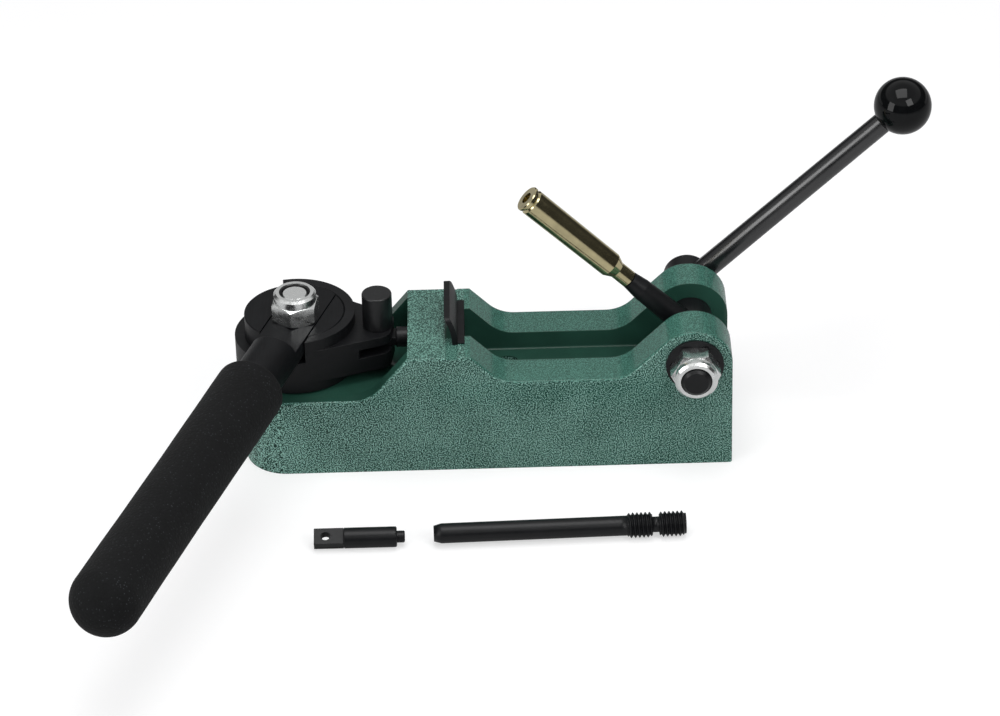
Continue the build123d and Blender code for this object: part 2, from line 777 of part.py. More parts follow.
# ---------------------------------------------------------------- case supports
support_radius = support_thread_diameter / 2
shank_radius = support_shank_diameter / 2
with BuildPart() as case_support:
    turn(
        [
            (-support_tail, 0),
            (-support_tail, support_radius - support_taper),
            (-support_tail + support_taper, support_radius),
            (-support_groove_width / 2, support_radius),
            (-support_groove_width / 2, support_groove_diameter / 2),
            (support_groove_width / 2, support_groove_diameter / 2),
            (support_groove_width / 2, support_radius),
            (support_body_length, support_radius - support_taper),
            (support_body_length + support_cone_length, case_neck_diameter / 2),
            (support_body_length + support_cone_length, shank_radius),
            (support_tip - support_tip_chamfer, shank_radius),
            (support_tip, shank_radius - support_tip_chamfer),
            (support_tip, 0),
        ],
        support_plane,
    )


def thread(start, turns, radius):
    """Profile points of a cut thread, as rings one pitch apart."""
    points = [(start, radius - thread_depth)]
    for number in range(turns):
        along = start + number * thread_pitch
        points.append((along + thread_pitch / 2, radius))
        points.append((along + thread_pitch, radius - thread_depth))
    return points


spare_rod_plane = lengthwise(
    (bridge_left + spare_rod_offset, spare_y, support_radius),
    Vector(1, 0, 0).rotate(Axis.Z, spare_rod_turn),
    (0, 0, 1),
)
first_thread = thread(spare_rod_shank_length, thread_turns, support_radius)
first_thread_end = first_thread[-1][0]
second_thread = thread(first_thread_end + support_groove_width, thread_turns, support_radius)
spare_rod_end = second_thread[-1][0] + thread_run_out
with BuildPart() as spare_support:
    turn(
        [
            (0, 0),
            (0, spare_rod_tip_diameter / 2),
            (spare_rod_tip_length, spare_rod_shank_diameter / 2),
            (spare_rod_shank_length, spare_rod_shank_diameter / 2),
            *first_thread,
            (first_thread_end, support_groove_diameter / 2),
            (first_thread_end + support_groove_width, support_groove_diameter / 2),
            *second_thread,
            (spare_rod_end, support_radius - thread_depth),
            (spare_rod_end, 0),
        ],
        spare_rod_plane,
    )


# ---------------------------------------------------------------- sample case
def from_head(distance):
    """A place along the support, measured from the head of the case towards its mouth."""
    return head_distance - distance


case_radius = case_head_diameter / 2
groove_end = case_rim_thickness + case_groove_width
shoulder_end = case_length - case_neck_length
shoulder_start = shoulder_end - case_shoulder_length
neck_radius = case_neck_diameter / 2
with BuildPart() as sample_case:
    turn(
        [
            (from_head(primer_pocket_depth), 0),
            (from_head(primer_pocket_depth), primer_pocket_diameter / 2),
            (from_head(0), primer_pocket_diameter / 2),
            (from_head(0), case_radius - case_wall),
            (from_head(case_wall), case_radius),
            (from_head(case_rim_thickness), case_radius),
            (from_head(case_rim_thickness), case_groove_diameter / 2),
            (from_head(groove_end), case_groove_diameter / 2),
            (from_head(groove_end + case_radius - case_groove_diameter / 2), case_radius),
            (from_head(shoulder_start), case_shoulder_diameter / 2),
            (from_head(shoulder_end), neck_radius),
            (from_head(case_length), neck_radius),
            (from_head(case_length), neck_radius - case_wall),
            (from_head(shoulder_end), neck_radius - case_wall),
            (from_head(shoulder_start), case_shoulder_diameter / 2 - case_wall),
            (from_head(case_web), case_groove_diameter / 2 - 2 * case_wall),
            (from_head(case_web), 0),
        ],
        support_plane,
    )
    case_head = support_plane.from_local_coords(Vector(head_distance, 0))
    with Locations(Plane(case_head, z_dir=support_plane.x_dir)):
        Hole(flash_hole_diameter / 2, depth=2 * case_web)


# ---------------------------------------------------------------- files
pieces = {
    "base_casting": base,
    "guide_plate": guide_plate,
    "guide_plate_screws": plate_screws,
    "cam_stud": stud,
    "cam_thrust_washer": thrust_washer,
    "cam_lock_nut": cam_nut,
    "cam_nut_ring": cam_nut_ring,
    "eccentric_cam": cam,
    "handle_bar": handle_bar,
    "handle_grip": grip,
    "cam_strap": strap,
    "fork_pin": fork_pin,
    "press_ram": press_ram,
    "clevis_shaft": clevis_shaft,
    "clevis_washer": clevis_washer,
    "clevis_lock_nut": clevis_nut,
    "clevis_nut_ring": clevis_nut_ring,
    "lever_rod": lever_rod,
    "lever_ball": lever_ball,
    "case_support": case_support,
    "sample_case": sample_case,
    "spare_ram": spare_ram,
    "spare_case_support": spare_support,
}
os.makedirs("parts", exist_ok=True)
for label, piece in pieces.items():
    piece.part.label = label
    export_step(piece.part, f"parts/{label}.step")
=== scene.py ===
import json
import math

import bmesh
import bpy
from bpy.props import FloatProperty, FloatVectorProperty, PointerProperty, StringProperty
from mathutils import Matrix, Vector


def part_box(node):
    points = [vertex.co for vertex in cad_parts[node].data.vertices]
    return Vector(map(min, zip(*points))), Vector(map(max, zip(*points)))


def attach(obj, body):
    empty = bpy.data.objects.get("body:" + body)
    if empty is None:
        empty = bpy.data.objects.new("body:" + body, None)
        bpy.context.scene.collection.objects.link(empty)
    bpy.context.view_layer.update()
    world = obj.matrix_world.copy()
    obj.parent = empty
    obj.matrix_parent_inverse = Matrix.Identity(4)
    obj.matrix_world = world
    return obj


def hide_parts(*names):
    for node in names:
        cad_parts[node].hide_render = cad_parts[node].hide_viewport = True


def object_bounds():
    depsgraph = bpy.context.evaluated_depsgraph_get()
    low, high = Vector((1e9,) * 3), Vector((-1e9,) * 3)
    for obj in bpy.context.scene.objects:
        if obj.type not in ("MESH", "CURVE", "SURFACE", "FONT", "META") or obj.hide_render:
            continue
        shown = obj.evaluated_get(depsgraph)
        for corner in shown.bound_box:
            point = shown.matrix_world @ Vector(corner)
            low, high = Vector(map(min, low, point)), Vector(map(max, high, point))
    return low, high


bl_info = {
    "name": "Bench Lever Press",
    "version": (1, 0, 0),
    "blender": (4, 5, 0),
    "location": "View3D > Sidebar > Press",
    "description": "Finishes, foam grip, threads and studio for a bench-mounted lever press",
    "category": "Object",
}

MM = 0.001
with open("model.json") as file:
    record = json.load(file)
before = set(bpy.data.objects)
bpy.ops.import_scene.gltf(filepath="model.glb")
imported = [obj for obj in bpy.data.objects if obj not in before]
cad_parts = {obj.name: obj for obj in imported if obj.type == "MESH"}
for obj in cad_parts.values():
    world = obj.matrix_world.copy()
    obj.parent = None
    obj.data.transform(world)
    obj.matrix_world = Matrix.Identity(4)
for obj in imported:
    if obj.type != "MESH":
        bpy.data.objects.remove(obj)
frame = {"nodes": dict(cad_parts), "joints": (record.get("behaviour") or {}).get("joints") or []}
cad_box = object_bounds()
nodes = frame["nodes"]
joints = {joint["name"]: joint for joint in frame["joints"]}


# ---------------------------------------------------------------- places taken from the frame
def middle(node):
    """The middle of a CAD node's box."""
    low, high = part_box(node)
    return (Vector(low) + Vector(high)) / 2


def pivot_of(joint):
    """The place of a joint's axis."""
    return Vector(joints[joint]["pos_m"])


# ---------------------------------------------------------------- settings a user would change
class PressFinishes(bpy.types.PropertyGroup):
    """Colours and surface sizes of the finishes."""

    enamel: StringProperty(
        name="Enamel", description="Hammertone enamel between its flecks, sRGB hex", default="#14463A"
    )
    enamel_fleck: StringProperty(
        name="Enamel flecks", description="Metallic flecks in the hammertone enamel, sRGB hex", default="#8CBAAD"
    )
    fleck_size: FloatProperty(
        name="Fleck size", description="Size of one fleck of the enamel", default=0.50 * MM, unit="LENGTH"
    )
    # Painted shade: a darker, smoother colour for the top faces, for the overhead lamp's stronger light on them.
    enamel_top_shade: StringProperty(
        name="Enamel on top", description="Enamel that flowed out on the top faces, sRGB hex", default="#39695C"
    )
    # Painted shade: a darker plain green for the faces between the walls and the platform.
    enamel_inner_shade: StringProperty(
        name="Enamel inside", description="Plain glossy enamel between the walls, sRGB hex", default="#254A3E"
    )
    black_oxide: StringProperty(
        name="Black oxide", description="Blackened steel, sRGB hex", default="#0F1012"
    )
    zinc: StringProperty(name="Zinc", description="Bright zinc plate, sRGB hex", default="#F0F2F1")
    brass: StringProperty(name="Brass", description="Drawn cartridge brass, sRGB hex", default="#CDC298")
    foam: StringProperty(name="Foam", description="Skin of the foam grip, sRGB hex", default="#0A0B0C")
    phenolic: StringProperty(name="Phenolic", description="Moulded knob, sRGB hex", default="#0B0C0D")
    nylon: StringProperty(name="Nylon", description="Locking rings in the nuts, sRGB hex", default="#101011")


class PressSizes(bpy.types.PropertyGroup):
    """Sizes of the pieces that are modelled here."""

    grip_waist: FloatProperty(
        name="Grip waist", description="How far the foam draws in between its ends", default=0.25 * MM, unit="LENGTH"
    )
    edge_break: FloatProperty(
        name="Edge break", description="Width of the broken edges of machined steel", default=0.3 * MM, unit="LENGTH"
    )
    shank_diameter: FloatProperty(
        name="Shank", description="Diameter of the spare support's shank", default=8.7 * MM, unit="LENGTH"
    )
    tip_diameter: FloatProperty(
        name="Tip", description="Diameter of the spare support's tip", default=6.9 * MM, unit="LENGTH"
    )
    tip_length: FloatProperty(
        name="Tip length", description="Length of the spare support's tapered tip", default=3.3 * MM, unit="LENGTH"
    )
    thread_pitch: FloatProperty(
        name="Thread pitch", description="14 turns to the inch", default=25.4 / 14 * MM, unit="LENGTH"
    )
    thread_depth: FloatProperty(
        name="Thread depth", description="Crest to root of the thread", default=1.05 * MM, unit="LENGTH"
    )
    thread_turns: FloatProperty(name="Thread turns", description="In each of the two threads", default=6)
    thread_run_out: FloatProperty(
        name="Run-out", description="Plain end past the last turn", default=0.7 * MM, unit="LENGTH"
    )
    groove_diameter: FloatProperty(
        name="Groove", description="Diameter between the two threads", default=6.8 * MM, unit="LENGTH"
    )
    groove_width: FloatProperty(
        name="Groove width", description="Between the two threads", default=3.0 * MM, unit="LENGTH"
    )


class PressStudio(bpy.types.PropertyGroup):
    """Camera and light."""

    camera_distance: FloatProperty(
        name="Camera distance", description="From the camera to the press", default=1.877, unit="LENGTH"
    )
    camera_aim: FloatVectorProperty(
        name="Camera aim", description="From the middle of the casting", default=(6.2 * MM, 0, 5.1 * MM),
        unit="LENGTH",
    )
    camera_pitch: FloatProperty(
        name="Camera pitch", description="How far the camera looks down", default=math.radians(33.1), subtype="ANGLE"
    )
    camera_roll: FloatProperty(
        name="Camera roll", description="Clockwise lean of the camera", default=math.radians(1.544), subtype="ANGLE"
    )
    lens: FloatProperty(name="Lens", description="Focal length", default=151.9, unit="CAMERA")
    light: FloatProperty(name="Light", description="Strength of the large soft lamps", default=1.0, min=0)


# ---------------------------------------------------------------- materials
def linear(hex_colour):
    """An sRGB hex colour as linear RGBA."""
    channels = [int(hex_colour[i : i + 2], 16) / 255 for i in (1, 3, 5)]
    return [c / 12.92 if c <= 0.04045 else ((c + 0.055) / 1.055) ** 2.4 for c in channels] + [1.0]


def node(tree, kind, settings=None, **inputs):
    """Adds a node: settings are its own properties, inputs are values or sockets to link.

    An input is named for its socket, or _2 for the socket at place 2."""
    made = tree.nodes.new(kind)
    for name, value in (settings or {}).items():
        setattr(made, name, value)
    for name, value in inputs.items():
        socket = made.inputs[int(name[1:])] if name[1:].isdigit() else made.inputs[name.replace("_", " ")]
        if isinstance(value, bpy.types.NodeSocket):
            tree.links.new(value, socket)
        else:
            socket.default_value = value
    return made


def new_material(name):
    """A new material, its node tree, its shader and a socket of places in metres."""
    material = bpy.data.materials.new(name)
    material.use_nodes = True
    tree = material.node_tree
    tree.nodes.clear()
    shader = node(tree, "ShaderNodeBsdfPrincipled")
    output = node(tree, "ShaderNodeOutputMaterial")
    tree.links.new(shader.outputs["BSDF"], output.inputs["Surface"])
    places = node(tree, "ShaderNodeTexCoord").outputs["Object"]
    return material, tree, shader, places


def colour_ramp(tree, factor, stops):
    """A ramp through (position, colour) stops."""
    ramp = node(tree, "ShaderNodeValToRGB", Fac=factor)
    elements = ramp.color_ramp.elements
    while len(elements) < len(stops):
        elements.new(0.5)
    for element, (position, colour) in zip(elements, stops):
        element.position = position
        element.color = colour
    return ramp.outputs["Color"]


def shade(colour, factor):
    """A linear colour made lighter or darker."""
    return [min(1.0, channel * factor) for channel in colour[:3]] + [1.0]


def between_the_walls(tree, places):
    """A mask of the casting's inner faces, which get painted shade, one of all that lies past the guide plate, and X.
    """
    plate_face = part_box("guide_plate")[1][0]
    bridge_length, bridge_cover, ear_cover = 25.3 * MM, 16 * MM, 20 * MM
    bridge_start, bridge_top = plate_face - bridge_length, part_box("fork_pin")[0][2] + bridge_cover
    # The platform under the cam gets the same painted shade as the walls, so the mask starts a hair below it.
    hair = 0.4 * MM
    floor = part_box("cam_thrust_washer")[0][2] - hair
    # Half the channel, to just past its walls, and half the platform but for its edges.
    half_channel, half_platform = 11.4 * MM, 27.9 * MM
    parts = node(tree, "ShaderNodeSeparateXYZ", Vector=places)
    aside = node(tree, "ShaderNodeMath", {"operation": "ABSOLUTE"}, _0=parts.outputs["Y"])
    by_the_cam = node(tree, "ShaderNodeMath", {"operation": "LESS_THAN"}, _0=parts.outputs["X"], _1=bridge_start)
    by_the_clevis = node(
        tree, "ShaderNodeMath", {"operation": "GREATER_THAN"}, _0=parts.outputs["X"], _1=plate_face
    )
    reach = node(
        tree, "ShaderNodeMath", {"operation": "MULTIPLY_ADD"},
        _0=by_the_cam.outputs[0], _1=half_platform - half_channel, _2=half_channel,
    )
    within = node(tree, "ShaderNodeMath", {"operation": "LESS_THAN"}, _0=aside.outputs[0], _1=reach.outputs[0])
    above = node(tree, "ShaderNodeMath", {"operation": "GREATER_THAN"}, _0=parts.outputs["Z"], _1=floor)
    top = node(
        tree, "ShaderNodeMath", {"operation": "MULTIPLY_ADD"},
        _0=by_the_clevis.outputs[0], _1=ear_cover, _2=bridge_top,
    )
    below = node(tree, "ShaderNodeMath", {"operation": "LESS_THAN"}, _0=parts.outputs["Z"], _1=top.outputs[0])
    level = node(tree, "ShaderNodeMath", {"operation": "MULTIPLY"}, _0=above.outputs[0], _1=below.outputs[0])
    inside = node(tree, "ShaderNodeMath", {"operation": "MULTIPLY"}, _0=level.outputs[0], _1=within.outputs[0])
    return inside.outputs[0], by_the_clevis.outputs[0], parts.outputs["X"]


def hammertone_enamel(finishes):
    """Hammertone enamel on a rough casting: pale flecks in a pulled, glossy skin, with a darker plain green between
    the walls and on the top faces as painted shade, and brighter flecks at the cam end as painted glints.
    """
    material, tree, shader, places = new_material("hammertone_enamel")
    base, fleck = linear(finishes.enamel), linear(finishes.enamel_fleck)
    # plain is the painted shade between the walls, flowed the painted shade on the top faces.
    plain, flowed = linear(finishes.enamel_inner_shade), linear(finishes.enamel_top_shade)
    inside, by_the_clevis, lengthwise = between_the_walls(tree, places)
    cloud_size, fade, pebble_depth = 22 * MM, 60 * MM, 0.06 * MM
    flecks = node(
        tree, "ShaderNodeTexNoise", Vector=places, Scale=1 / finishes.fleck_size, Detail=1.0, Roughness=0.5
    )
    clouds = node(tree, "ShaderNodeTexNoise", Vector=places, Scale=1 / cloud_size, Detail=2.0)
    # The flecks gather a little more in some places than in others.
    gathered = node(
        tree, "ShaderNodeMath", {"operation": "MULTIPLY_ADD"}, _0=clouds.outputs["Fac"], _1=0.08, _2=-0.04
    )
    density = node(tree, "ShaderNodeMath", {"operation": "ADD"}, _0=flecks.outputs["Fac"], _1=gathered.outputs[0])
    # The flecks are painted bolder and brighter at the cam end and calmer towards the clevis: painted glints, where
    # the left lamp catches the metallic flecks.
    glinting_flecks = colour_ramp(
        tree, density.outputs[0], [(0.455, shade(base, 0.38)), (0.505, base), (0.555, shade(fleck, 1.06))]
    )
    dull_flecks = colour_ramp(
        tree, density.outputs[0], [(0.445, shade(base, 0.5)), (0.505, shade(base, 1.3)), (0.575, shade(fleck, 0.97))]
    )
    glint_fade = node(
        tree, "ShaderNodeMapRange", Value=lengthwise, From_Min=-fade, From_Max=fade, To_Min=0.0, To_Max=1.0
    )
    flecked = node(tree, "ShaderNodeMix", {"data_type": "RGBA"}, _0=glint_fade.outputs[0], _6=glinting_flecks, _7=dull_flecks)
    # The top faces get a darker, smoother colour of their own, chosen by which way the face points, and more so
    # towards the clevis: painted shade for the overhead lamp's stronger light on them.
    upward = node(tree, "ShaderNodeSeparateXYZ", Vector=node(tree, "ShaderNodeTexCoord").outputs["Normal"])
    level = node(
        tree, "ShaderNodeMapRange", Value=upward.outputs["Z"], From_Min=0.3, From_Max=0.65, To_Min=0.0, To_Max=1.0
    )
    top_shade_strength = node(tree, "ShaderNodeMapRange", Value=by_the_clevis, To_Min=0.5, To_Max=0.9)
    top_shade_mask = node(tree, "ShaderNodeMath", {"operation": "MULTIPLY"}, _0=level.outputs[0], _1=top_shade_strength.outputs[0])
    # The top faces' colour in a narrow ramp: painted shade.
    pulled = colour_ramp(tree, density.outputs[0], [(0.44, shade(flowed, 0.62)), (0.56, shade(flowed, 1.3))])
    outer = node(
        tree, "ShaderNodeMix", {"data_type": "RGBA"}, _0=top_shade_mask.outputs[0], _6=flecked.outputs[2], _7=pulled
    )
    # Between the walls and on the platform the flecks give way to a darker plain green: painted shade.
    smooth = colour_ramp(tree, clouds.outputs["Fac"], [(0.35, shade(plain, 0.85)), (0.65, shade(plain, 1.12))])
    skin = node(tree, "ShaderNodeMix", {"data_type": "RGBA"}, _0=inside, _6=outer.outputs[2], _7=smooth)
    tree.links.new(skin.outputs[2], shader.inputs["Base Color"])
    rough = node(
        tree, "ShaderNodeMapRange", Value=density.outputs[0], To_Min=0.38, To_Max=0.55, From_Min=0.35, From_Max=0.65
    )
    tree.links.new(rough.outputs["Result"], shader.inputs["Roughness"])
    outside = node(tree, "ShaderNodeMath", {"operation": "SUBTRACT"}, _0=1.0, _1=inside)
    height = node(tree, "ShaderNodeMath", {"operation": "MULTIPLY"}, _0=flecks.outputs["Fac"], _1=outside.outputs[0])
    pebbles = node(tree, "ShaderNodeBump", Strength=0.25, Distance=pebble_depth, Height=height.outputs[0])
    tree.links.new(pebbles.outputs["Normal"], shader.inputs["Normal"])
    shader.inputs["Specular IOR Level"].default_value = 0.12
    shader.inputs["Coat Weight"].default_value = 0.5
    shader.inputs["Coat Roughness"].default_value = 0.10
    return material


def black_oxide_steel(finishes, name, lay, pitch, roughest, oil, edge_break):
    """Machined steel blackened in hot salts: a thin dark satin skin that keeps the tool marks.

    lay is the direction along which the tool marks run, pitch their spacing, roughest the dullest
    roughness between them, oil how much the oil left on it shines, edge_break the width of the
    broken edges. Real marks lie closer, at 0.1 to 0.2 mm: they are drawn coarser so that they show."""
    material, tree, shader, places = new_material(name)
    colour = linear(finishes.black_oxide)
    along_marks, bloom_size, mark_depth = 0.03, 6 * MM, 0.03 * MM
    stretch = [1 / pitch * (along_marks if abs(part) > 0.5 else 1.0) for part in lay]
    stretched = node(tree, "ShaderNodeMapping", Vector=places, Scale=stretch)
    marks = node(tree, "ShaderNodeTexNoise", Vector=stretched.outputs[0], Scale=1.0, Detail=3.0, Roughness=0.6)
    bloom = node(tree, "ShaderNodeTexNoise", Vector=places, Scale=1 / bloom_size, Detail=4.0, Roughness=0.65)
    mottled = colour_ramp(
        tree, bloom.outputs["Fac"], [(0.30, shade(colour, 0.75)), (0.55, colour), (0.78, shade(colour, 1.35))]
    )
    tree.links.new(mottled, shader.inputs["Base Color"])
    smoothest = roughest - 0.14
    rough = node(
        tree, "ShaderNodeMapRange", Value=marks.outputs["Fac"], From_Min=0.3, From_Max=0.7, To_Min=smoothest,
        To_Max=roughest,
    )
    tree.links.new(rough.outputs["Result"], shader.inputs["Roughness"])
    worn_edges = node(tree, "ShaderNodeBevel", {"samples": 6}, Radius=edge_break)
    grooves = node(
        tree, "ShaderNodeBump", Strength=0.25, Distance=mark_depth, Height=marks.outputs["Fac"],
        Normal=worn_edges.outputs[0],
    )
    tree.links.new(grooves.outputs["Normal"], shader.inputs["Normal"])
    shader.inputs["Specular IOR Level"].default_value = oil
    return material


def zinc_plate(finishes):
    """Bright zinc plated steel: a blue-white mirror, slightly uneven from the bath."""
    material, tree, shader, places = new_material("zinc_plate")
    colour = linear(finishes.zinc)
    bath_size, dent_depth = 3.5 * MM, 0.05 * MM
    bath = node(tree, "ShaderNodeTexNoise", Vector=places, Scale=1 / bath_size, Detail=2.0)
    tone = colour_ramp(tree, bath.outputs["Fac"], [(0.3, shade(colour, 0.84)), (0.6, colour)])
    tree.links.new(tone, shader.inputs["Base Color"])
    rough = node(
        tree, "ShaderNodeMapRange", Value=bath.outputs["Fac"], From_Min=0.3, From_Max=0.7, To_Min=0.16, To_Max=0.30
    )
    tree.links.new(rough.outputs["Result"], shader.inputs["Roughness"])
    dents = node(tree, "ShaderNodeBump", Strength=0.25, Distance=dent_depth, Height=bath.outputs["Fac"])
    tree.links.new(dents.outputs["Normal"], shader.inputs["Normal"])
    shader.inputs["Metallic"].default_value = 1.0
    return material


def cartridge_brass(finishes):
    """Drawn and tumbled cartridge brass: soft mirror with fine marks and a faint brown bloom."""
    material, tree, shader, places = new_material("cartridge_brass")
    colour = linear(finishes.brass)
    bloom_size, tumble_size, mark_depth = 5 * MM, 0.35 * MM, 0.02 * MM
    bloom = node(tree, "ShaderNodeTexNoise", Vector=places, Scale=1 / bloom_size, Detail=3.0)
    tone = colour_ramp(tree, bloom.outputs["Fac"], [(0.30, shade(colour, 0.80)), (0.62, colour)])
    tree.links.new(tone, shader.inputs["Base Color"])
    tumble = node(tree, "ShaderNodeTexNoise", Vector=places, Scale=1 / tumble_size, Detail=2.0)
    rough = node(
        tree, "ShaderNodeMapRange", Value=tumble.outputs["Fac"], From_Min=0.3, From_Max=0.7, To_Min=0.08, To_Max=0.18
    )
    tree.links.new(rough.outputs["Result"], shader.inputs["Roughness"])
    marks = node(tree, "ShaderNodeBump", Strength=0.2, Distance=mark_depth, Height=tumble.outputs["Fac"])
    tree.links.new(marks.outputs["Normal"], shader.inputs["Normal"])
    shader.inputs["Metallic"].default_value = 1.0
    return material


def closed_cell_foam(finishes):
    """Black closed-cell foam with a sanded skin: dull, with a dusting of opened cells."""
    material, tree, shader, places = new_material("closed_cell_foam")
    colour = linear(finishes.foam)
    # The cells are a little coarser than life so that they show.
    cell_size, scuff_size, pore_depth = 1.5 * MM, 9 * MM, 0.25 * MM
    cells = node(tree, "ShaderNodeTexVoronoi", Vector=places, Scale=1 / cell_size)
    scuffs = node(tree, "ShaderNodeTexNoise", Vector=places, Scale=1 / scuff_size, Detail=4.0, Roughness=0.6)
    skin = colour_ramp(tree, scuffs.outputs["Fac"], [(0.32, shade(colour, 0.75)), (0.70, shade(colour, 1.25))])
    opened = colour_ramp(tree, cells.outputs["Distance"], [(0.08, shade(colour, 14.0)), (0.24, shade(colour, 0.0))])
    # Few of the cells are cut open, so the scuffed patches decide where they show.
    worn = node(
        tree, "ShaderNodeMapRange", Value=scuffs.outputs["Fac"], From_Min=0.42, From_Max=0.68, To_Min=0.25, To_Max=1.0
    )
    dusted = node(
        tree, "ShaderNodeMix", {"data_type": "RGBA", "blend_type": "ADD"}, _0=worn.outputs[0], _6=skin, _7=opened
    )
    tree.links.new(dusted.outputs[2], shader.inputs["Base Color"])
    pores = node(tree, "ShaderNodeBump", Strength=0.7, Distance=pore_depth, Height=cells.outputs["Distance"])
    tree.links.new(pores.outputs["Normal"], shader.inputs["Normal"])
    shader.inputs["Roughness"].default_value = 0.85
    shader.inputs["Specular IOR Level"].default_value = 0.2
    shader.inputs["Sheen Weight"].default_value = 0.02
    shader.inputs["Sheen Roughness"].default_value = 0.6
    return material


def polished_phenolic(finishes):
    """Compression-moulded phenolic, polished: deep black with sharp reflections of the lamps."""
    material, tree, shader, places = new_material("polished_phenolic")
    colour = linear(finishes.phenolic)
    smudge_size = 4 * MM
    handling = node(tree, "ShaderNodeTexNoise", Vector=places, Scale=1 / smudge_size, Detail=5.0, Roughness=0.7)
    tone = colour_ramp(tree, handling.outputs["Fac"], [(0.35, shade(colour, 0.8)), (0.7, shade(colour, 1.4))])
    tree.links.new(tone, shader.inputs["Base Color"])
    rough = node(
        tree, "ShaderNodeMapRange", Value=handling.outputs["Fac"], From_Min=0.35, From_Max=0.7, To_Min=0.03,
        To_Max=0.08,
    )
    tree.links.new(rough.outputs["Result"], shader.inputs["Roughness"])
    shader.inputs["Specular IOR Level"].default_value = 0.2
    return material


def moulded_nylon(finishes):
    """Moulded nylon: waxy black with a faint grain."""
    material, tree, shader, places = new_material("moulded_nylon")
    colour = linear(finishes.nylon)
    grain_size = 0.5 * MM
    grain = node(tree, "ShaderNodeTexNoise", Vector=places, Scale=1 / grain_size, Detail=2.0)
    tone = colour_ramp(tree, grain.outputs["Fac"], [(0.3, shade(colour, 0.8)), (0.7, shade(colour, 1.3))])
    tree.links.new(tone, shader.inputs["Base Color"])
    shader.inputs["Roughness"].default_value = 0.45
    return material


def finish_nodes(material, *names):
    """Gives a material to CAD nodes."""
    for name in names:
        slots = nodes[name].data.materials
        slots.clear()
        slots.append(material)


# ---------------------------------------------------------------- mesh helpers
def new_piece(name, mesh_work, material):
    """Makes a smooth-shaded object of a bmesh."""
    mesh = bpy.data.meshes.new(name)
    mesh_work.normal_update()
    mesh_work.to_mesh(mesh)
    mesh_work.free()
    piece = bpy.data.objects.new(name, mesh)
    bpy.context.scene.collection.objects.link(piece)
    mesh.materials.append(material)
    mesh.polygons.foreach_set("use_smooth", [True] * len(mesh.polygons))
    return piece


def turned(rings, origin, along, across, sides, radius_at):
    """A closed turned solid: rings are places along the axis, radius_at(place, angle) the surface."""
    work = bmesh.new()
    side = along.cross(across)
    rows = []
    for place in rings:
        row = []
        for i in range(sides):
            angle = math.tau * i / sides
            outward = across * math.cos(angle) + side * math.sin(angle)
            row.append(work.verts.new(origin + along * place + outward * radius_at(place, angle)))
        rows.append(row)
    for first, second in zip(rows, rows[1:]):
        for i in range(sides):
            j = (i + 1) % sides
            work.faces.new((first[i], first[j], second[j], second[i]))
    work.faces.new(list(reversed(rows[0])))
    work.faces.new(rows[-1])
    bmesh.ops.recalc_face_normals(work, faces=work.faces)
    return work


def axis_extent(name, origin, along):
    """Where a CAD node starts and ends along an axis through origin, and its largest radius."""
    offsets = [vertex.co - origin for vertex in nodes[name].data.vertices]
    lengths = [offset.dot(along) for offset in offsets]
    radius = max((offset - along * length).length for offset, length in zip(offsets, lengths))
    return min(lengths), max(lengths), radius


def lying_axis(name):
    """The two ends of a round CAD node that lies roughly along X, as points on its axis."""
    places = sorted((vertex.co for vertex in nodes[name].data.vertices), key=lambda place: place.x)
    height, end_depth = middle(name).z, 0.4 * MM
    ends = []
    for outermost in (places[0].x, places[-1].x):
        near = [place for place in places if abs(place.x - outermost) < end_depth]
        back_to_front = [min(place.y for place in near), max(place.y for place in near)]
        ends.append(Vector((outermost, sum(back_to_front) / 2, height)))
    return ends


